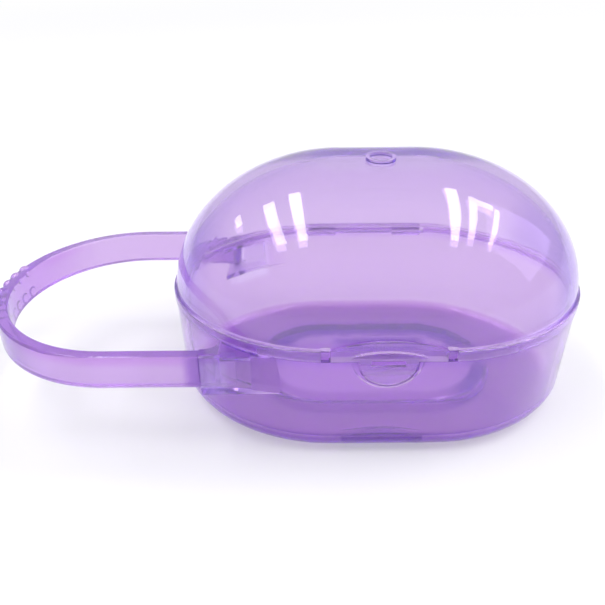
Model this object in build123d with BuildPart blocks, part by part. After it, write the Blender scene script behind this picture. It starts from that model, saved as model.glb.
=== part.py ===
"""Two-piece travel case with a domed lid, a back hinge and a swing-open carry handle."""

from build123d import *
import os
from math import atan2, cos, degrees, pi, radians, sin

os.makedirs("parts", exist_ok=True)

# Frame: X runs along the case with the handle towards -X, the latch faces -Y, the hinge is at +Y
# and +Z is up.  The origin is on the foot, under the middle of the tub.  Millimetres and degrees.

# ---- Case plan, measured over the lid's band ----
rim_half_length = 52.5
rim_half_depth = 36.0
end_stretch = 3.9  # each rounded end is longer than the half depth by this much
tip_drop = 4.6  # the arc at each tip has a radius this much under the half depth

# ---- Tub ----
tub_height = 27.8  # up to the shelf the lid closes on
tub_step = 0.3  # the tub's rim stands in from the band by this much
tub_wall = 1.8
floor_thickness = 1.8
wall_draft = 2.2
foot_radius = 6.0
lip_height = 2.0
lip_clearance = 0.3
lip_break = 0.8  # how far the lip stops short of the hinge's leaves

# ---- Raised middle of the floor ----
island_half_length = 33.0
island_half_depth = 20.0
island_rise = 2.5
island_edge = 2.2

# ---- Finger scoop under the front of the foot ----
scoop_half_width = 10.2
scoop_height = 1.4
scoop_depth = 6.0

# ---- Lid ----
case_height = 62.0
parting_gap = 0.3
band_height = 2.4
band_wall = 1.05
band_rounding = 0.5
lid_step = 0.8  # the dome stands in from the band by this much
lid_wall = 2.2
crown_half_length = 15.3  # plan of the dome's top
crown_half_depth = 5.8
crown_stretch = 0.3
crown_tip_drop = 1.15
dome_fullness = 1.88  # exponent of the dome's profile: 2 is an ellipse
dome_steps = 8
ring_outer_radius = 3.7
ring_inner_radius = 2.8
ring_height = 0.8
ring_sink = 0.4

# ---- Latch at the front ----
panel_half_width = 13.0
panel_thickness = 3.0
panel_side_height = 2.6
panel_arch = 2.4
slit_width = 2.2
slit_height = 2.4
panel_clearance = 0.3
tab_radius = 6.6
tab_thickness = 0.9
tab_gap = 0.3
window_width = 7.7
window_height = 1.9
window_drop = 1.7  # from the lid's lower edge down to the bottom of the window
catch_width = 7.0
catch_height = 0.7
catch_reach = 0.3
nail_half_width = 8.8
nail_arch = 1.5
nail_depth = 1.5
nail_ledge = 0.8  # below the finger notch
pad_border = 1.3

# ---- Hinge at the back ----
hinge_offset = 1.2  # from the band to the pin's axis
knuckle_radius = 1.4
knuckle_clearance = 0.3
hinge_half_width = 17.2
lid_knuckle_half_width = 8.3
knuckle_gap = 0.3
leaf_root = 0.5  # how far a hinge leaf runs into the wall behind it
hinge_pin_radius = 0.6
pin_fit = 0.05

# ---- Carry handle ----
arm_inset = 2.55  # each arm's outer face stands in from the band's long side by this much
strap_thickness = 3.1
strap_height = 8.8
strap_rise = 0.2  # over the tub's shelf
strap_rounding = 0.7
arm_reach = 22.7  # from the sockets' mouths to the start of the bend
grip_beads = 6  # in each of two rows, along the strap's top and bottom edges
grip_pitch = 4.15
grip_radius = 1.7
grip_reach = 0.9
grip_drop = 1.3  # from the strap's edge to the middle of each bead

# ---- Handle sockets on the tub ----
socket_setback = 10.0  # from the tip of the case to the sockets' mouths
socket_length = 18.0
socket_proud = 0.3
socket_wall = 1.2
socket_web = 1.3
socket_clearance = 0.3
pocket_depth = 11.5
mouth_depth = 4.6  # open-topped part of the front socket
mouth_gap = 0.4  # between the handle's front foot and the closed part of the socket
shoulder_gap = 0.3  # between the mouth of the socket and the handle's shoulder
swing_relief = 0.4  # lets the front foot swing out past the socket's outer wall
foot_flare = 3.8
tongue_length = 3.8
tongue_width = 1.7
tongue_relief = 0.7
wall_gap = 0.4

# ---- Handle pivot ----
pivot_setback = 2.5  # from the socket's mouth to the pin's axis
eye_radius = 1.85
lug_radius = 2.4
eye_step = 3.0  # from the pin's axis to the full-height strap
pivot_pin_radius = 1.05
pivot_pin_foot = 2.9  # how far the pin stands out below the socket
pivot_pin_tip = 0.9

# ---- Derived places ----
lid_bottom = tub_height + parting_gap
band_top = lid_bottom + band_height
lip_top = tub_height + lip_height
hinge_y = rim_half_depth + hinge_offset
hinge_z = tub_height + parting_gap / 2
shelf_half_depth = rim_half_depth - tub_step
inner_inset = tub_step + tub_wall
tab_back = shelf_half_depth - tab_thickness
recess_floor = tab_back - tab_gap - catch_reach
window_bottom = lid_bottom - window_drop
dome_inset_length = rim_half_length - lid_step - crown_half_length
dome_inset_depth = rim_half_depth - lid_step - crown_half_depth
arm_half_span = rim_half_depth - arm_inset
socket_mouth = socket_setback - rim_half_length
socket_end = socket_mouth + socket_length
pocket_end = socket_mouth + pocket_depth
pivot_x = socket_mouth + pivot_setback
bend_centre = socket_mouth - arm_reach
strap_top = tub_height + strap_rise
strap_bottom = strap_top - strap_height
socket_floor = strap_bottom - socket_clearance
socket_bottom = socket_floor - socket_web
socket_ceiling = tub_height - socket_web
tongue_top = socket_ceiling - socket_clearance
socket_half_span = arm_half_span + socket_proud
pivot_y = arm_half_span - strap_thickness / 2


def oval(half_length, half_depth, stretch, drop):
    """Add an oval to the sketch: straight sides, shoulder arcs and a smaller arc at each tip."""
    span = half_depth + stretch
    straight = half_length - span
    tip = half_depth - drop
    shoulder = (span**2 + half_depth**2 - 2 * tip * span) / (2 * (half_depth - tip))
    middle = (straight, half_depth - shoulder)
    tip_middle = half_length - tip
    turn = atan2(-middle[1], tip_middle - middle[0])
    joint = (tip_middle + tip * cos(turn), tip * sin(turn))
    half_turn = (turn + pi / 2) / 2
    bulge = (middle[0] + shoulder * cos(half_turn), middle[1] + shoulder * sin(half_turn))
    with BuildLine() as outline:
        Line((-straight, half_depth), (straight, half_depth))
        ThreePointArc((straight, half_depth), bulge, joint)
        ThreePointArc(joint, (half_length, 0), (joint[0], -joint[1]))
        ThreePointArc((joint[0], -joint[1]), (bulge[0], -bulge[1]), (straight, -half_depth))
        Line((straight, -half_depth), (-straight, -half_depth))
        ThreePointArc((-straight, -half_depth), (-bulge[0], -bulge[1]), (-joint[0], -joint[1]))
        ThreePointArc((-joint[0], -joint[1]), (-half_length, 0), (-joint[0], joint[1]))
        ThreePointArc((-joint[0], joint[1]), (-bulge[0], bulge[1]), (-straight, half_depth))
    make_face(outline.edges())


def case_plan(inset):
    """The case's plan, drawn in by the same distance all round."""
    oval(rim_half_length - inset, rim_half_depth - inset, end_stretch, tip_drop)


def dome_plan(angle, wall):
    """The dome's plan at an angle up its profile, 0 at the foot and 90 at the top."""
    drawn_in = 1 - cos(radians(angle)) ** (2 / dome_fullness)
    foot = lid_step + wall
    oval(
        rim_half_length - foot - dome_inset_length * drawn_in,
        rim_half_depth - foot - dome_inset_depth * drawn_in,
        end_stretch + (crown_stretch - end_stretch) * drawn_in,
        tip_drop + (crown_tip_drop - tip_drop) * drawn_in,
    )


def dome_height(angle, wall):
    """Height of that plan above the foot of the tub."""
    rise = case_height - wall - band_top
    return band_top + rise * sin(radians(angle)) ** (2 / dome_fullness)


# ---- Tub: outside, inside and what stands on them ----
with BuildPart() as tub_outside:
    with BuildSketch(Plane.XY.offset(tub_height)):
        case_plan(tub_step)
    extrude(amount=-tub_height, taper=wall_draft)
    fillet(tub_outside.faces().sort_by(Axis.Z)[0].edges(), foot_radius)

with BuildPart() as island:
    with BuildSketch(Plane.XY.offset(floor_thickness)):
        SlotOverall(2 * island_half_length, 2 * island_half_depth)
    extrude(amount=island_rise)
    fillet(island.faces().sort_by(Axis.Z)[-1].edges(), island_edge)

scoop_radius = (scoop_half_width**2 + scoop_height**2) / (2 * scoop_height)
scoop_end = -shelf_half_depth + scoop_depth
with BuildPart() as scoop:
    with BuildSketch(Plane.XZ.offset(-scoop_end)):
        with Locations((0, scoop_height - scoop_radius)):
            Circle(scoop_radius)
    extrude(amount=scoop_depth + tub_wall)

with BuildPart() as scoop_shell:
    with BuildSketch(Plane.XZ.offset(-scoop_end - floor_thickness)):
        with Locations((0, scoop_height - scoop_radius)):
            Circle(scoop_radius + floor_thickness)
    extrude(amount=scoop_depth + 2 * floor_thickness)

recess_radius = tab_radius + tab_gap
with BuildPart() as latch_pad:
    with BuildSketch(Plane.XZ.offset(recess_floor - tub_wall)):
        with Locations((0, tub_height)):
            Circle(recess_radius + pad_border)
    extrude(amount=2 * tub_wall)

with BuildPart() as latch_recess:
    with BuildSketch(Plane.XZ.offset(recess_floor)):
        with Locations((0, tub_height)):
            Circle(recess_radius)
    extrude(amount=rim_half_depth - recess_floor)

with BuildPart() as tub_inside:
    with BuildSketch(Plane.XY.offset(tub_height)):
        case_plan(inner_inset)
    extrude(amount=floor_thickness - tub_height, taper=wall_draft)
    fillet(tub_inside.faces().sort_by(Axis.Z)[0].edges(), foot_radius - floor_thickness)
    add(island.part, mode=Mode.SUBTRACT)
    add(scoop_shell.part, mode=Mode.SUBTRACT)
    add(latch_pad.part, mode=Mode.SUBTRACT)

with BuildPart() as lip:
    with BuildSketch(Plane.XY.offset(tub_height)):
        case_plan(band_wall + lip_clearance)
    extrude(amount=lip_height)
    with BuildSketch(Plane.XY.offset(tub_height)):
        case_plan(inner_inset)
    extrude(amount=lip_height, mode=Mode.SUBTRACT)
    with BuildSketch(Plane.XY.offset(tub_height)):
        with Locations((0, -rim_half_depth)):
            Rectangle(2 * (panel_half_width + panel_clearance), rim_half_depth)
        with Locations((0, rim_half_depth)):
            Rectangle(2 * (hinge_half_width + lip_break), rim_half_depth)
    extrude(amount=lip_height, mode=Mode.SUBTRACT)


def socket_block(side):
    """Plan of the block that carries a handle socket: side is -1 at the front, +1 at the back."""
    middle = ((socket_mouth + socket_end) / 2, side * (socket_half_span + rim_half_depth / 2) / 2)
    with BuildSketch(Plane.XY.offset(socket_bottom)) as block:
        with Locations(middle):
            Rectangle(socket_end - socket_mouth, socket_half_span - rim_half_depth / 2)
    return block.sketch


pocket_half_span = socket_half_span - socket_wall
with BuildPart() as front_socket:
    extrude(socket_block(-1), amount=tub_height - socket_bottom)
    with BuildSketch(Plane.XY.offset(socket_floor)):
        with Locations((socket_mouth, -pocket_half_span)):
            Rectangle(pocket_end - socket_mouth, pocket_half_span, align=(Align.MIN, Align.MIN))
    extrude(amount=socket_ceiling - socket_floor, mode=Mode.SUBTRACT)
    with BuildSketch(Plane.XY.offset(socket_floor)):
        with Locations((socket_mouth, -pocket_half_span)):
            Rectangle(mouth_depth, pocket_half_span, align=(Align.MIN, Align.MIN))
    extrude(amount=tub_height - socket_floor, mode=Mode.SUBTRACT)

eye_clear = pivot_x + lug_radius
with BuildPart() as back_socket:
    extrude(socket_block(1), amount=tub_height - socket_bottom)
    lug_corner = back_socket.edges().filter_by(Axis.Z).group_by(Axis.X)[0].sort_by(Axis.Y)[-1]
    fillet(lug_corner, lug_radius)
    with BuildSketch(Plane.XY.offset(socket_floor)):
        with Locations((eye_clear, 0)):
            mouth_room = 2 * (eye_clear - socket_mouth)
            Rectangle(mouth_room, 2 * socket_half_span, align=(Align.MAX, Align.CENTER))
        with Locations((eye_clear, 0)):
            Rectangle(pocket_end - eye_clear, pocket_half_span, align=(Align.MIN, Align.MIN))
    extrude(amount=socket_ceiling - socket_floor, mode=Mode.SUBTRACT)
    with BuildSketch(Plane.XY.offset(socket_bottom)):
        with Locations((pivot_x, pivot_y)):
            Circle(pivot_pin_radius)
    extrude(amount=tub_height - socket_bottom, mode=Mode.SUBTRACT)

tub_leaf_wall = shelf_half_depth - leaf_root
lid_leaf_wall = rim_half_depth - leaf_root


def knuckle(start, width, wall, up):
    """A hinge barrel with its flat leaf into a wall: up is +1 on the lid and -1 on the tub."""
    base = hinge_z + up * parting_gap / 2
    crest = hinge_z + up * knuckle_radius
    with BuildSketch(Plane.YZ.offset(start)) as leaf:
        with Locations((hinge_y, hinge_z)):
            Circle(knuckle_radius)
        with BuildLine() as web:
            Polyline((wall, base), (hinge_y, base), (hinge_y, crest), (wall, crest), close=True)
        make_face(web.edges())
    return extrude(leaf.sketch, amount=width, mode=Mode.PRIVATE)


def hinge_cylinder(start, width, radius):
    """A cylinder on the hinge's axis."""
    with BuildSketch(Plane.YZ.offset(start)) as disc:
        with Locations((hinge_y, hinge_z)):
            Circle(radius)
    return extrude(disc.sketch, amount=width, mode=Mode.PRIVATE)


side_start = lid_knuckle_half_width + knuckle_gap
side_width = hinge_half_width - side_start
running_radius = hinge_pin_radius + pin_fit
swept_radius = knuckle_radius + knuckle_clearance

# ---- Tub ----
with BuildPart() as tub:
    add(tub_outside.part)
    add(front_socket.part)
    add(back_socket.part)
    add(lip.part)
    add(tub_inside.part, mode=Mode.SUBTRACT)
    with BuildSketch(Plane.XY):
        SlotOverall(
            2 * (island_half_length - floor_thickness),
            2 * (island_half_depth - floor_thickness),
        )
    extrude(amount=island_rise, mode=Mode.SUBTRACT)
    add(scoop.part, mode=Mode.SUBTRACT)
    add(latch_recess.part, mode=Mode.SUBTRACT)
    with BuildSketch(Plane.XZ.offset(recess_floor)):
        with Locations((0, tub_height)):
            Rectangle(catch_width, catch_height, align=(Align.CENTER, Align.MAX))
    extrude(amount=catch_reach)
    knuckle_cut = lid_knuckle_half_width + knuckle_gap
    add(hinge_cylinder(-knuckle_cut, 2 * knuckle_cut, swept_radius), mode=Mode.SUBTRACT)
    for side_x in (-hinge_half_width, side_start):
        add(knuckle(side_x, side_width, tub_leaf_wall, -1))
    add(hinge_cylinder(-hinge_half_width, 2 * hinge_half_width, hinge_pin_radius), mode=Mode.SUBTRACT)
tub.part.label = "tub"
export_step(tub.part, "parts/tub.step")

# ---- Lid ----
with BuildPart() as dome:
    for step in range(dome_steps + 1):
        with BuildSketch(Plane.XY.offset(dome_height(90 * step / dome_steps, 0))):
            dome_plan(90 * step / dome_steps, 0)
    loft()

with BuildPart() as dome_inside:
    for step in range(dome_steps + 1):
        with BuildSketch(Plane.XY.offset(dome_height(90 * step / dome_steps, lid_wall))):
            dome_plan(90 * step / dome_steps, lid_wall)
    loft()

with BuildPart() as band:
    with BuildSketch(Plane.XY.offset(lid_bottom)):
        case_plan(0)
    extrude(amount=band_height)
    fillet(band.faces().sort_by(Axis.Z)[-1].edges(), band_rounding)

panel_back = rim_half_depth - panel_thickness
panel_top = lid_bottom + panel_side_height
with BuildPart() as panel:
    with BuildSketch(Plane.XZ.offset(panel_back)):
        with BuildLine():
            Polyline(
                (-panel_half_width, panel_top),
                (-panel_half_width, lid_bottom),
                (panel_half_width, lid_bottom),
                (panel_half_width, panel_top),
            )
            ThreePointArc(
                (panel_half_width, panel_top),
                (0, panel_top + panel_arch),
                (-panel_half_width, panel_top),
            )
        make_face()
    extrude(amount=panel_thickness)

with BuildPart() as tab:
    with BuildSketch(Plane.XZ.offset(tab_back)):
        with Locations((0, tub_height)):
            Circle(tab_radius)
    extrude(amount=tab_thickness)
    add(tub_outside.part, mode=Mode.INTERSECT)
    with BuildSketch(Plane.XY.offset(tub_height)):
        with Locations((0, -tab_back)):
            Rectangle(2 * tab_radius, tab_thickness, align=(Align.CENTER, Align.MAX))
    extrude(amount=parting_gap)

nail_bottom = lid_bottom + nail_ledge
with BuildPart() as lid:
    add(dome.part)
    add(band.part)
    add(panel.part)
    with BuildSketch(Plane.XY.offset(lid_bottom)):
        case_plan(band_wall)
        with Locations((0, -rim_half_depth)):
            Rectangle(2 * panel_half_width, 2 * panel_thickness, mode=Mode.SUBTRACT)
    extrude(amount=lip_height, mode=Mode.SUBTRACT)
    with BuildSketch(Plane.XY.offset(lid_bottom)):
        case_plan(lid_step + lid_wall)
        with Locations((0, -rim_half_depth)):
            Rectangle(2 * panel_half_width, 2 * panel_thickness, mode=Mode.SUBTRACT)
    extrude(amount=band_height, mode=Mode.SUBTRACT)
    add(dome_inside.part, mode=Mode.SUBTRACT)
    with BuildSketch(Plane.XZ.offset(panel_back)):
        for slit_side in (-1, 1):
            with Locations((slit_side * (panel_half_width + slit_width / 2), lid_bottom)):
                Rectangle(slit_width, 2 * slit_height)
    extrude(amount=panel_thickness, mode=Mode.SUBTRACT)
    with BuildSketch(Plane.XZ.offset(rim_half_depth - nail_depth)):
        with BuildLine():
            Line((-nail_half_width, nail_bottom), (nail_half_width, nail_bottom))
            ThreePointArc(
                (nail_half_width, nail_bottom),
                (0, nail_bottom + nail_arch),
                (-nail_half_width, nail_bottom),
            )
        make_face()
    extrude(amount=nail_depth, mode=Mode.SUBTRACT)
    add(tab.part)
    with BuildSketch(Plane.XZ.offset(tab_back)):
        with Locations((0, window_bottom)):
            Rectangle(window_width, window_height, align=(Align.CENTER, Align.MIN))
    extrude(amount=rim_half_depth - tab_back, mode=Mode.SUBTRACT)
    for side_x in (-hinge_half_width, side_start):
        knuckle_room = side_width + 2 * knuckle_gap
        room = hinge_cylinder(side_x - knuckle_gap, knuckle_room, swept_radius)
        add(room, mode=Mode.SUBTRACT)
    add(knuckle(-lid_knuckle_half_width, 2 * lid_knuckle_half_width, lid_leaf_wall, 1))
    pin_room = 2 * lid_knuckle_half_width
    add(hinge_cylinder(-lid_knuckle_half_width, pin_room, running_radius), mode=Mode.SUBTRACT)
    with BuildSketch(Plane.XY.offset(case_height - ring_sink)):
        Circle(ring_outer_radius)
        Circle(ring_inner_radius, mode=Mode.SUBTRACT)
    extrude(amount=ring_sink + ring_height)
lid.part.label = "lid"
export_step(lid.part, "parts/lid.step")

# ---- Handle ----
inner_half_span = arm_half_span - strap_thickness
tongue_height = tongue_top - strap_bottom
tongue_half_span = pocket_half_span - tongue_relief
foot_half_span = pocket_half_span - swing_relief
foot_end = socket_mouth + mouth_depth - mouth_gap
shoulder_x = socket_mouth - shoulder_gap
eye_shoulder = pivot_x - eye_step
with BuildPart() as strap:
    with BuildSketch(Plane.XY.offset(strap_bottom)):
        with BuildLine():
            Polyline(
                (bend_centre, arm_half_span),
                (eye_shoulder, arm_half_span),
                (eye_shoulder, inner_half_span),
                (bend_centre, inner_half_span),
            )
            ThreePointArc(
                (bend_centre, inner_half_span),
                (bend_centre - inner_half_span, 0),
                (bend_centre, -inner_half_span),
            )
            Polyline(
                (bend_centre, -inner_half_span),
                (shoulder_x, -inner_half_span),
                (shoulder_x, -arm_half_span),
                (bend_centre, -arm_half_span),
            )
            ThreePointArc(
                (bend_centre, -arm_half_span),
                (bend_centre - arm_half_span, 0),
                (bend_centre, arm_half_span),
            )
        make_face()
    extrude(amount=strap_height)
    long_edges = strap.edges().filter_by(Axis.Z, reverse=True).filter_by(Axis.Y, reverse=True)
    fillet(long_edges, strap_rounding)

bead_x = bend_centre - arm_half_span - grip_reach + grip_radius
with BuildPart() as bead_pair:
    for bead_z in (strap_bottom + grip_drop, strap_top - grip_drop):
        with Locations((bead_x, 0, bead_z)):
            Sphere(grip_radius)

with BuildPart() as front_foot:
    with BuildSketch(Plane.XY.offset(strap_bottom)):
        with BuildLine():
            Polyline(
                (foot_end - foot_flare, -inner_half_span),
                (shoulder_x, -inner_half_span),
                (shoulder_x, -foot_half_span),
                (foot_end, -foot_half_span),
                (foot_end, foot_flare - inner_half_span),
            )
            RadiusArc(
                (foot_end, foot_flare - inner_half_span),
                (foot_end - foot_flare, -inner_half_span),
                foot_flare,
            )
        make_face()
    extrude(amount=strap_height)
    with BuildSketch(Plane.XY.offset(strap_bottom)):
        with Locations((foot_end, -tongue_half_span)):
            Rectangle(tongue_length, tongue_width, align=(Align.MIN, Align.MIN))
    extrude(amount=tongue_height)
    with BuildSketch(Plane.XY.offset(strap_bottom)):
        case_plan(-wall_gap)
    extrude(amount=strap_height, mode=Mode.SUBTRACT)

with BuildPart() as handle:
    add(strap.part)
    for place in range(grip_beads):
        turn = degrees((place - (grip_beads - 1) / 2) * grip_pitch / arm_half_span)
        add(bead_pair.part.rotate(Axis((bend_centre, 0, 0), (0, 0, 1)), turn))
    add(front_foot.part)
    with BuildSketch(Plane.XY.offset(strap_bottom)):
        with Locations((eye_shoulder, pivot_y)):
            Rectangle(eye_step, strap_thickness, align=(Align.MIN, Align.CENTER))
        with Locations((pivot_x, pivot_y)):
            Circle(eye_radius)
    extrude(amount=tongue_height)
    with BuildSketch(Plane.XY.offset(strap_bottom)):
        with Locations((pivot_x, pivot_y)):
            Circle(pivot_pin_radius + pin_fit)
    extrude(amount=strap_height, mode=Mode.SUBTRACT)
handle.part.label = "handle"
export_step(handle.part, "parts/handle.step")

# ---- Pins ----
with BuildPart() as hinge_pin:
    with BuildSketch(Plane.YZ.offset(-hinge_half_width)):
        with Locations((hinge_y, hinge_z)):
            Circle(hinge_pin_radius)
    extrude(amount=2 * hinge_half_width)
hinge_pin.part.label = "hinge_pin"
export_step(hinge_pin.part, "parts/hinge_pin.step")

with BuildPart() as handle_pin:
    with BuildSketch(Plane.XY.offset(socket_bottom - pivot_pin_foot)):
        with Locations((pivot_x, pivot_y)):
            Circle(pivot_pin_radius)
    extrude(amount=tub_height - socket_bottom + pivot_pin_foot)
    fillet(handle_pin.faces().sort_by(Axis.Z)[0].edges(), pivot_pin_tip)
handle_pin.part.label = "handle_pin"
export_step(handle_pin.part, "parts/handle_pin.step")
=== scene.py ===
from math import pi, radians

import bpy
from mathutils import Matrix, Vector

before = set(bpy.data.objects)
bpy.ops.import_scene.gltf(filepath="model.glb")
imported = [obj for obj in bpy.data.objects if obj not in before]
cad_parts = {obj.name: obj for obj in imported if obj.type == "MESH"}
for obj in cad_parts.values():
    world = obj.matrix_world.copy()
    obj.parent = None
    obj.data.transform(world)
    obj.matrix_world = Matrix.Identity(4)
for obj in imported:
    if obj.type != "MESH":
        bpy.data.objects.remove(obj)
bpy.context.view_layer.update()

# ---------------------------------------------------------------- camera
# Places are in metres and angles in degrees; the focal length is in pixels of a square frame.
camera_place = Vector((-0.019086, -0.15959, 0.117715))
camera_dip = 30.954
camera_roll = -0.447
film_width = 36.0
focal_pixels = 689.2
frame_pixels = 605.0

camera_data = bpy.data.cameras.new("camera")
camera_data.sensor_width = film_width
camera_data.lens = film_width * focal_pixels / frame_pixels
camera_data.clip_start = 0.01
camera_data.clip_end = 20.0
camera = bpy.data.objects.new("camera", camera_data)
bpy.context.scene.collection.objects.link(camera)
camera.matrix_world = (
    Matrix.Translation(camera_place)
    @ Matrix.Rotation(radians(90.0 - camera_dip), 4, "X")
    @ Matrix.Rotation(radians(camera_roll), 4, "Z")
)
bpy.context.scene.camera = camera

# ---------------------------------------------------------------- node helpers
# Spacing of the nodes in the editor.
column = 150
line = 160


def put(tree, kind, place, **settings):
    """Adds a node and sets its plain properties."""
    node = tree.nodes.new(kind)
    node.location = place
    for name, value in settings.items():
        setattr(node, name, value)
    return node


def reckon(tree, place, operation, *values):
    """One step of arithmetic: each value is a number or another node's output."""
    step = put(tree, "ShaderNodeMath", place, operation=operation)
    for slot, value in zip(step.inputs, values):
        if isinstance(value, float):
            slot.default_value = value
        else:
            tree.links.new(value, slot)
    return step.outputs["Value"]


def fade(tree, place, value, start, end, at_start, at_end):
    """A smooth change from one number to another while a value runs from start to end."""
    ramp = put(tree, "ShaderNodeMapRange", place, interpolation_type="SMOOTHSTEP")
    ramp.inputs["From Min"].default_value = start
    ramp.inputs["From Max"].default_value = end
    ramp.inputs["To Min"].default_value = at_start
    ramp.inputs["To Max"].default_value = at_end
    tree.links.new(value, ramp.inputs["Value"])
    return ramp.outputs["Result"]


def mixed_tint(tree, place, share, first, second, label=""):
    """A colour between two others: each is a colour or another node's colour output."""
    mix = put(tree, "ShaderNodeMix", place, data_type="RGBA", label=label)
    tree.links.new(share, mix.inputs["Factor"])
    # Slots 6 and 7 are the colours A and B, and output 2 is the mixed colour.
    for slot, colour in ((mix.inputs[6], first), (mix.inputs[7], second)):
        if isinstance(colour, tuple):
            slot.default_value = (*colour, 1.0)
        else:
            tree.links.new(colour, slot)
    return mix.outputs[2]


def seen_directly(tree, place):
    """1 where a surface is seen straight, in a reflection or through the plastic, else 0."""
    x, y = place
    rays = put(tree, "ShaderNodeLightPath", (x, y)).outputs
    straight = reckon(
        tree, (x + column, y), "MAXIMUM", rays["Is Camera Ray"], rays["Is Glossy Ray"]
    )
    return reckon(tree, (x + 2 * column, y), "MAXIMUM", straight, rays["Is Transmission Ray"])


# ---------------------------------------------------------------- marks of moulding
ripple_scale = 60.0
haze_scale = 140.0
drift_scale = 22.0
drift_amount = 0.5


def moulding_marks():
    """Faint unevenness of moulded plastic: slow ripples, a little haze and drifts of deeper dye."""
    group = bpy.data.node_groups.new("moulding_marks", "ShaderNodeTree")
    for name, value in (
        ("Ripple", 0.3), ("Ripple Size", ripple_scale), ("Gloss", 0.05), ("Haze", 0.06),
        ("Drift", drift_amount),
    ):
        socket = group.interface.new_socket(
            name=name, in_out="INPUT", socket_type="NodeSocketFloat"
        )
        socket.default_value = value
    for name in ("Height", "Roughness", "Dye"):
        group.interface.new_socket(name=name, in_out="OUTPUT", socket_type="NodeSocketFloat")
    given = put(group, "NodeGroupInput", (-900, 0)).outputs
    result = put(group, "NodeGroupOutput", (500, 0)).inputs
    where = put(group, "ShaderNodeTexCoord", (-900, -300)).outputs["Object"]

    def noise(place, scale, detail):
        """Soft noise in the piece's own space, of a given scale and detail."""
        pattern = put(group, "ShaderNodeTexNoise", place)
        pattern.inputs["Detail"].default_value = detail
        if isinstance(scale, float):
            pattern.inputs["Scale"].default_value = scale
        else:
            group.links.new(scale, pattern.inputs["Scale"])
        group.links.new(where, pattern.inputs["Vector"])
        return pattern.outputs["Fac"]

    ripple = noise((-500, 100), given["Ripple Size"], 1.0)
    height = reckon(group, (-200, 100), "MULTIPLY", ripple, given["Ripple"])
    cloud = noise((-500, -250), haze_scale, 3.0)
    haze = reckon(group, (-200, -250), "MULTIPLY", cloud, given["Haze"])
    rough = reckon(group, (100, -250), "ADD", haze, given["Gloss"])
    flow = noise((-500, -550), drift_scale, 2.0)
    dye = reckon(group, (-200, -550), "MULTIPLY", flow, given["Drift"])
    for value, name in ((height, "Height"), (rough, "Roughness"), (dye, "Dye")):
        group.links.new(value, result[name])
    return group


marks = moulding_marks()

# ---------------------------------------------------------------- zones of painted light and shade
# Half the length of the straight middle line of the floor's raised oval.
oval_half_straight = 0.013


def near(tree, place, value, middle, full, none):
    """1 where a value is within one distance of the middle, falling to 0 at another."""
    x, y = place
    off = reckon(tree, (x, y), "SUBTRACT", value, middle)
    away = reckon(tree, (x + column, y), "ABSOLUTE", off)
    return fade(tree, (x + 2 * column, y), away, full, none, 1.0, 0.0)


def reach_of_oval(tree, place, parts):
    """How far a point is, in plan, from the middle line of the raised oval of the floor."""
    x, y = place
    along = reckon(tree, (x, y), "ABSOLUTE", parts["X"])
    past = reckon(tree, (x + column, y), "SUBTRACT", along, oval_half_straight)
    round_end = reckon(tree, (x + 2 * column, y), "MAXIMUM", past, 0.0)
    plan = put(tree, "ShaderNodeCombineXYZ", (x + 3 * column, y))
    tree.links.new(round_end, plan.inputs["X"])
    tree.links.new(parts["Y"], plan.inputs["Y"])
    reach = put(tree, "ShaderNodeVectorMath", (x + 4 * column, y), operation="LENGTH")
    tree.links.new(plan.outputs["Vector"], reach.inputs[0])
    return reach.outputs["Value"]


def painted_zone(shade, blur=0.0, **limits):
    """A zone where light or shade is painted into the colour: darker for painted shade, paler for
    painted light, and rougher by the blur.

    Each limit names X, Y, Z or oval, the reach from the floor's oval, and gives three lengths:
    the middle of the zone, the distance from it that is wholly inside, and the one that is outside.
    """
    return limits, shade, blur


def share_of_zone(tree, place, measures, limits):
    """1 inside a zone and 0 outside: the product of the fades along the axes that it names."""
    x, y = place
    share = None
    for row, (axis, lengths) in enumerate(limits.items()):
        height = y + line * row
        inside = near(tree, (x, height), measures[axis], *lengths)
        if share is None:
            share = inside
        else:
            share = reckon(tree, (x + 3 * column, height), "MULTIPLY", share, inside)
    return share


# ---------------------------------------------------------------- clear violet plastic
plastic_ior = 1.45
coat_weight = 0.5
coat_roughness = 0.03
highlight_tint = (0.99, 0.97, 1.0, 1.0)
edge_steepness = 2.5
# Light that stays inside the walls for more bounces than this meets a rougher surface.
caught_bounces = 4.5
caught_roughness = 0.7
bump_strength = 0.2
bump_distance = 0.001


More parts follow.
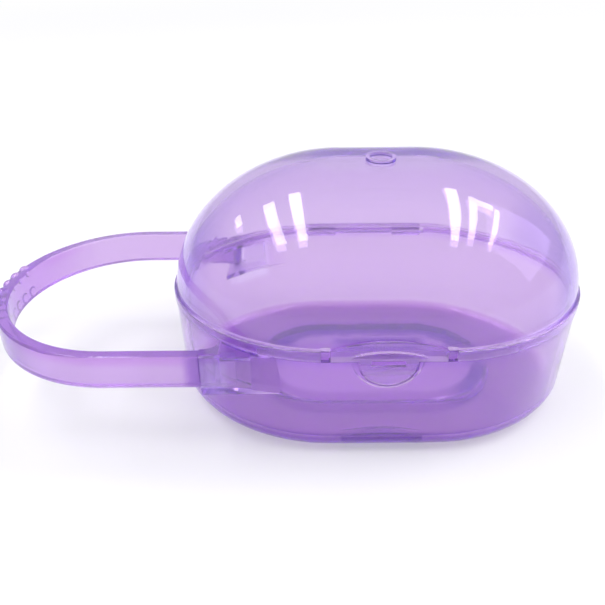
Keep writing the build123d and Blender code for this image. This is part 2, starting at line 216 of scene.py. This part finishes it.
def clear_plastic(
    name, tint, deep_tint, painted_edge_shade, clearness, depth_colour, density, gloss, haze,
    ripple=0.02, zones=None,
):
    """Clear plastic with violet dye, a little milky: painted shade deepens it where it is seen edge
    on, and it is deeper with thickness.
    """
    material = bpy.data.materials.new(name)
    material.use_nodes = True
    tree = material.node_tree
    tree.nodes.clear()
    surface = put(tree, "ShaderNodeOutputMaterial", (900, 0))
    plastic = put(tree, "ShaderNodeBsdfPrincipled", (500, 0))
    for socket, value in (
        ("Metallic", 0.0), ("IOR", plastic_ior), ("Transmission Weight", clearness),
        ("Coat Weight", coat_weight), ("Coat Roughness", coat_roughness),
        ("Specular Tint", highlight_tint),
    ):
        plastic.inputs[socket].default_value = value
    pattern = put(tree, "ShaderNodeGroup", (-700, 0), node_tree=marks)
    for socket, value in (("Ripple", ripple), ("Gloss", gloss), ("Haze", haze)):
        pattern.inputs[socket].default_value = value
    colour = mixed_tint(tree, (-400, 300), pattern.outputs["Dye"], tint, deep_tint)
    softness = pattern.outputs["Roughness"]

    if zones:
        where = put(tree, "ShaderNodeTexCoord", (-2600, 600))
        axes = put(tree, "ShaderNodeSeparateXYZ", (-2400, 600))
        tree.links.new(where.outputs["Object"], axes.inputs["Vector"])
        measures = dict(axes.outputs.items())
        if any("oval" in limits for limits, _, _ in zones.values()):
            measures["oval"] = reach_of_oval(tree, (-2400, 1200), axes.outputs)
        # Each zone paints its light or shade into the colour, and may make it rougher.
        for row, (place_name, (limits, shade, blur)) in enumerate(zones.items()):
            share = share_of_zone(tree, (-1500, 600 + 500 * row), measures, limits)
            height = 500 + 300 * row
            colour = mixed_tint(tree, (-150, height), share, colour, shade, label=place_name)
            if blur:
                softness = reckon(
                    tree, (-150, height - 100), "MULTIPLY_ADD", share, blur, softness
                )

    # Painted shade: the colour deepens where the surface is seen edge on, standing in for the
    # longer path of light through the wall there.
    edge = put(tree, "ShaderNodeLayerWeight", (-450, -400))
    edge.inputs["Blend"].default_value = 0.5
    steep = reckon(tree, (-200, -400), "POWER", edge.outputs["Facing"], edge_steepness)
    colour = mixed_tint(tree, (150, 200), steep, colour, painted_edge_shade)
    tree.links.new(colour, plastic.inputs["Base Color"])

    depth = put(tree, "ShaderNodeLightPath", (-450, -700)).outputs["Ray Depth"]
    caught = reckon(tree, (-200, -700), "GREATER_THAN", depth, caught_bounces)
    rough = reckon(tree, (150, -700), "MULTIPLY_ADD", caught, caught_roughness, softness)
    tree.links.new(rough, plastic.inputs["Roughness"])

    bump = put(tree, "ShaderNodeBump", (150, -200))
    bump.inputs["Strength"].default_value = bump_strength
    bump.inputs["Distance"].default_value = bump_distance
    tree.links.new(pattern.outputs["Height"], bump.inputs["Height"])
    tree.links.new(bump.outputs["Normal"], plastic.inputs["Normal"])
    tree.links.new(plastic.outputs["BSDF"], surface.inputs["Surface"])

    dye = put(tree, "ShaderNodeVolumeAbsorption", (500, -500))
    dye.inputs["Color"].default_value = (*depth_colour, 1.0)
    dye.inputs["Density"].default_value = density
    tree.links.new(dye.outputs["Volume"], surface.inputs["Volume"])
    return material


finishes = {
    "lid": clear_plastic(
        "lid_clear_violet",
        tint=(0.918, 0.855, 0.926), deep_tint=(0.895, 0.820, 0.914), painted_edge_shade=(0.52, 0.35, 0.84),
        clearness=0.96, depth_colour=(0.5, 0.12, 0.92), density=75.0, gloss=0.03, haze=0.04,
        zones={
            # Painted shade: both sides of the dome are darker, standing in for the long path of
            # light through the shell near its outline.
            "right side of the dome": painted_zone(
                (0.60, 0.51, 0.80), X=(0.0560, 0.0095, 0.0190), Z=(0.0400, 0.0140, 0.0190)
            ),
            "left side of the dome": painted_zone(
                (0.68, 0.59, 0.84), X=(-0.0560, 0.0070, 0.0180), Z=(0.0400, 0.0140, 0.0190)
            ),
            # Painted shade along the lower edge of the front skirt, dimming the pale floor that it
            # reflects; rougher there.
            "lower edge of the front skirt": painted_zone(
                (0.66, 0.46, 0.86), blur=0.2,
                Z=(0.0285, 0.0008, 0.0014), Y=(-0.045, 0.012, 0.013)
            ),
            # Painted shade in the nail recess, its shaded hollow; rougher there.
            "recess for the nail": painted_zone(
                (0.42, 0.20, 0.68), blur=0.1,
                Z=(0.0285, 0.0008, 0.0018), X=(0.0, 0.0070, 0.0105), Y=(-0.045, 0.012, 0.0125)
            ),
            # Painted shade over the rim band, standing in for the shaded gap between lid and tub
            # and dimming its pale lines; rougher there.
            "rim": painted_zone((0.84, 0.69, 0.93), blur=0.15, Z=(0.0275, 0.0030, 0.0040)),
            # Painted light: the latch tab is a little paler than the lid, and rougher, softening
            # its outline.
            "tab of the latch": painted_zone(
                (0.93, 0.85, 0.97), blur=0.10,
                Z=(0.0200, 0.0050, 0.0056), Y=(-0.045, 0.014, 0.015)
            ),
        },
    ),
    "tub": clear_plastic(
        "tub_clear_violet",
        tint=(0.88, 0.775, 0.90), deep_tint=(0.86, 0.74, 0.89), painted_edge_shade=(0.58, 0.42, 0.86),
        clearness=0.95, depth_colour=(0.5, 0.1, 0.9), density=90.0, gloss=0.04, haze=0.05,
        zones={
            # Painted shade along the rounded edge of the foot, where the case meets the floor.
            "rounded edge of the foot": painted_zone(
                (0.34, 0.11, 0.62),
                Z=(0.0030, 0.0016, 0.0034), oval=(0.040, 0.017, 0.020), Y=(-0.040, 0.028, 0.036)
            ),
            # Painted light: both sockets are paler than the rest of the tub.
            "back socket": painted_zone(
                (0.97, 0.94, 0.99),
                X=(-0.0370, 0.0060, 0.0080), Y=(0.0290, 0.0050, 0.0065),
                Z=(0.0220, 0.0060, 0.0075)
            ),
            "front socket": painted_zone(
                (0.98, 0.95, 1.0),
                X=(-0.0405, 0.0030, 0.0050), Y=(-0.0330, 0.0040, 0.0060),
                Z=(0.0230, 0.0060, 0.0075)
            ),
            # Painted shade: the floor of the tub is darker, standing in for the shaded ground seen
            # through it.
            "floor": painted_zone((0.60, 0.305, 0.735), Z=(0.0, 0.0024, 0.0034)),
            # Painted shade on the raised oval: its top, the step round it, its back and the right
            # front of the step are darker.
            "top of the raised oval": painted_zone(
                (0.74, 0.47, 0.86), oval=(0.0, 0.0170, 0.0180), Z=(0.004, 0.003, 0.004)
            ),
            "step round the raised oval": painted_zone(
                (0.54, 0.22, 0.72), oval=(0.0178, 0.0018, 0.0032)
            ),
            "back of the raised oval": painted_zone(
                (0.25, 0.02, 0.60), oval=(0.0134, 0.0016, 0.0030), Y=(0.020, 0.014, 0.020)
            ),
            "right front of the step": painted_zone(
                (0.26, 0.03, 0.60),
                oval=(0.0172, 0.0014, 0.0028), X=(0.040, 0.014, 0.024), Y=(-0.020, 0.014, 0.022)
            ),
            # Painted shade: a dark band across the raised oval, where no bar is modelled.
            "painted dark band across the raised oval": painted_zone(
                (0.34, 0.07, 0.68),
                Y=(0.0068, 0.0009, 0.0026), X=(0.003, 0.010, 0.0145), Z=(0.004, 0.003, 0.004)
            ),
            # Painted shade over the rim band of the tub, dimming its pale lines; rougher there.
            "rim": painted_zone((0.82, 0.66, 0.93), blur=0.15, Z=(0.0285, 0.0016, 0.0030)),
            # Painted shade under the roof of the scoop at the front of the foot, its shaded hollow;
            # rougher there.
            "scoop under the front": painted_zone(
                (0.20, 0.02, 0.45), blur=0.3,
                X=(0.0, 0.0092, 0.0110), Z=(0.0, 0.0022, 0.0032), Y=(-0.040, 0.0090, 0.0104)
            ),
        },
    ),
    "handle": clear_plastic(
        "handle_clear_violet",
        tint=(0.875, 0.69, 0.96), deep_tint=(0.855, 0.66, 0.95), painted_edge_shade=(0.30, 0.10, 0.72),
        clearness=0.82, depth_colour=(0.46, 0.03, 0.80), density=100.0, gloss=0.16, haze=0.08,
        zones={
            # Painted shade on the strap: darker along its lower and top edges, over the bend and
            # where the ends go into the sockets.
            "lower edge": painted_zone((0.60, 0.32, 0.86), Z=(0.0188, 0.0004, 0.0012)),
            "top of the bend": painted_zone(
                (0.66, 0.28, 0.92), X=(-0.1000, 0.012, 0.036), Z=(0.0282, 0.0010, 0.0016)
            ),
            "top edge": painted_zone((0.78, 0.48, 0.92), Z=(0.0280, 0.0012, 0.0034)),
            "bend": painted_zone((0.80, 0.56, 0.94), X=(-0.1000, 0.002, 0.018)),
            "ends before the sockets": painted_zone((0.60, 0.35, 0.83), X=(-0.0430, 0.0018, 0.0042)),
            # Painted light: the ends in the sockets and the back arm are paler than the rest of the
            # strap.
            "ends in the sockets": painted_zone((0.90, 0.76, 1.0), X=(-0.0360, 0.0045, 0.0058)),
            "back arm": painted_zone(
                (0.90, 0.74, 0.965), Y=(0.0400, 0.014, 0.030), X=(-0.065, 0.015, 0.030)
            ),
        },
    ),
    "hinge_pin": clear_plastic(
        "hinge_pin_violet",
        tint=(0.80, 0.62, 0.92), deep_tint=(0.78, 0.59, 0.91), painted_edge_shade=(0.50, 0.28, 0.80),
        clearness=0.90, depth_colour=(0.4, 0.05, 0.85), density=100.0, gloss=0.08, haze=0.05,
    ),
    "handle_pin": clear_plastic(
        "handle_pin_deep_violet",
        tint=(0.62, 0.38, 0.84), deep_tint=(0.59, 0.35, 0.82), painted_edge_shade=(0.40, 0.18, 0.72),
        clearness=0.80, depth_colour=(0.4, 0.05, 0.85), density=120.0, gloss=0.10, haze=0.05,
    ),
}

for node, plastic in finishes.items():
    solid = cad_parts[node]
    solid.data.materials.clear()
    solid.data.materials.append(plastic)

# ---------------------------------------------------------------- floor and backdrop
floor_size = 6.0
# The floor lies a hair under the feet of the case.
floor_drop = 0.0002
floor_colour = (0.965, 0.96, 1.0, 1.0)
# The floor glows by a part near the case, so that it keeps its shadow, and wholly far off.
glow_near_case = 0.38
glow_grows_from = 0.35
glow_whole_from = 0.90
# Painted shade colour: near the case the glow is bluish, a lilac cast over the case's shadow.
lilac_shadow_glow = (0.93, 0.93, 1.0)
white = (1.0, 1.0, 1.0)

bpy.ops.object.select_all(action="DESELECT")
bpy.ops.mesh.primitive_plane_add(size=floor_size, location=(0, 0, -floor_drop))
floor = bpy.context.object
floor.name = "floor"
floor_paint = bpy.data.materials.new("floor_paint")
floor_paint.use_nodes = True
floor_tree = floor_paint.node_tree
paint = floor_tree.nodes["Principled BSDF"]
paint.inputs["Base Color"].default_value = floor_colour
paint.inputs["Roughness"].default_value = 0.6
paint.inputs["Specular IOR Level"].default_value = 0.0
floor_place = put(floor_tree, "ShaderNodeTexCoord", (-1500, -400))
floor_reach = put(floor_tree, "ShaderNodeVectorMath", (-1300, -400), operation="LENGTH")
floor_tree.links.new(floor_place.outputs["Object"], floor_reach.inputs[0])
far_off = fade(
    floor_tree, (-1100, -400), floor_reach.outputs["Value"],
    glow_grows_from, glow_whole_from, glow_near_case, 1.0,
)
glow_share = reckon(
    floor_tree, (-200, 0), "MULTIPLY", seen_directly(floor_tree, (-900, 0)), far_off
)
glow = put(floor_tree, "ShaderNodeEmission", (-300, -200))
glow.inputs["Strength"].default_value = 1.0
glow_tint = mixed_tint(floor_tree, (-600, -400), far_off, lilac_shadow_glow, white)
floor_tree.links.new(glow_tint, glow.inputs["Color"])
pale_floor = put(floor_tree, "ShaderNodeMixShader", (300, 0))
floor_tree.links.new(glow_share, pale_floor.inputs["Fac"])
floor_tree.links.new(paint.outputs["BSDF"], pale_floor.inputs[1])
floor_tree.links.new(glow.outputs["Emission"], pale_floor.inputs[2])
floor_tree.links.new(
    pale_floor.outputs["Shader"], floor_tree.nodes["Material Output"].inputs["Surface"]
)
floor.data.materials.append(floor_paint)

# ---------------------------------------------------------------- world
# White as a background and through the plastic, dimmer in reflections, dimmest as light.
world_light = 0.46
mirrored_share = 0.5

world = bpy.data.worlds.new("studio")
bpy.context.scene.world = world
world.use_nodes = True
world_tree = world.node_tree
background = world_tree.nodes["Background"]
background.inputs["Color"].default_value = (*white, 1.0)
rays = put(world_tree, "ShaderNodeLightPath", (-1200, 0)).outputs
in_view = reckon(
    world_tree, (-900, 0), "MAXIMUM", rays["Is Camera Ray"], rays["Is Transmission Ray"]
)
mirrored = reckon(world_tree, (-900, -200), "MULTIPLY", rays["Is Glossy Ray"], mirrored_share)
shown = reckon(world_tree, (-600, 0), "MAXIMUM", in_view, mirrored)
lift = reckon(
    world_tree, (-300, 0), "MULTIPLY_ADD", shown, 1.0 - world_light, world_light
)
world_tree.links.new(lift, background.inputs["Strength"])

# ---------------------------------------------------------------- lights
strip_height = 1.05
# Each row is a name, a place, a width and length, and a brightness, where white is 1.
studio_lights = (
    ("left_outer_strip", (-0.70, 0.03, strip_height), (0.16, 0.95), 6.5),
    ("left_inner_strip", (-0.385, 0.03, strip_height), (0.12, 1.0), 7.2),
    ("right_inner_strip", (0.39, 0.0, strip_height), (0.12, 1.05), 7.2),
    ("right_middle_strip", (0.61, -0.02, strip_height), (0.10, 0.86), 5.9),
    ("right_outer_strip", (0.97, -0.05, strip_height), (0.10, 0.80), 5.9),
    ("right_cross_strip", (0.78, 0.33, strip_height), (0.24, 0.14), 5.9),
    ("side_panel", (1.9, 0.2, 1.2), (1.6, 1.6), 2.2),
    ("left_far_strip", (-1.33, 0.56, strip_height), (0.20, 0.30), 5.0),
)


def area_light(name, place, size, brightness):
    """A rectangle of light that faces down."""
    width, length = size
    data = bpy.data.lights.new(name, "AREA")
    data.shape = "RECTANGLE"
    data.size = width
    data.size_y = length
    data.energy = brightness * pi * width * length
    light = bpy.data.objects.new(name, data)
    bpy.context.scene.collection.objects.link(light)
    light.location = place
    return light


lamps = {row[0]: area_light(*row) for row in studio_lights}
# The panel faces the case, and its own shape isn't mirrored in the plastic.
side_panel = lamps["side_panel"]
side_panel.rotation_euler = (-side_panel.location).to_track_quat("-Z", "Y").to_euler()
side_panel.visible_glossy = False

# ---------------------------------------------------------------- how light is followed
# Light passes many clear walls, and is followed until it comes out.
wall_bounces = 48
floor_bounces = 16

scene = bpy.context.scene
scene.view_settings.view_transform = "Standard"
scene.cycles.max_bounces = wall_bounces
scene.cycles.transmission_bounces = wall_bounces
scene.cycles.glossy_bounces = wall_bounces
scene.cycles.diffuse_bounces = floor_bounces
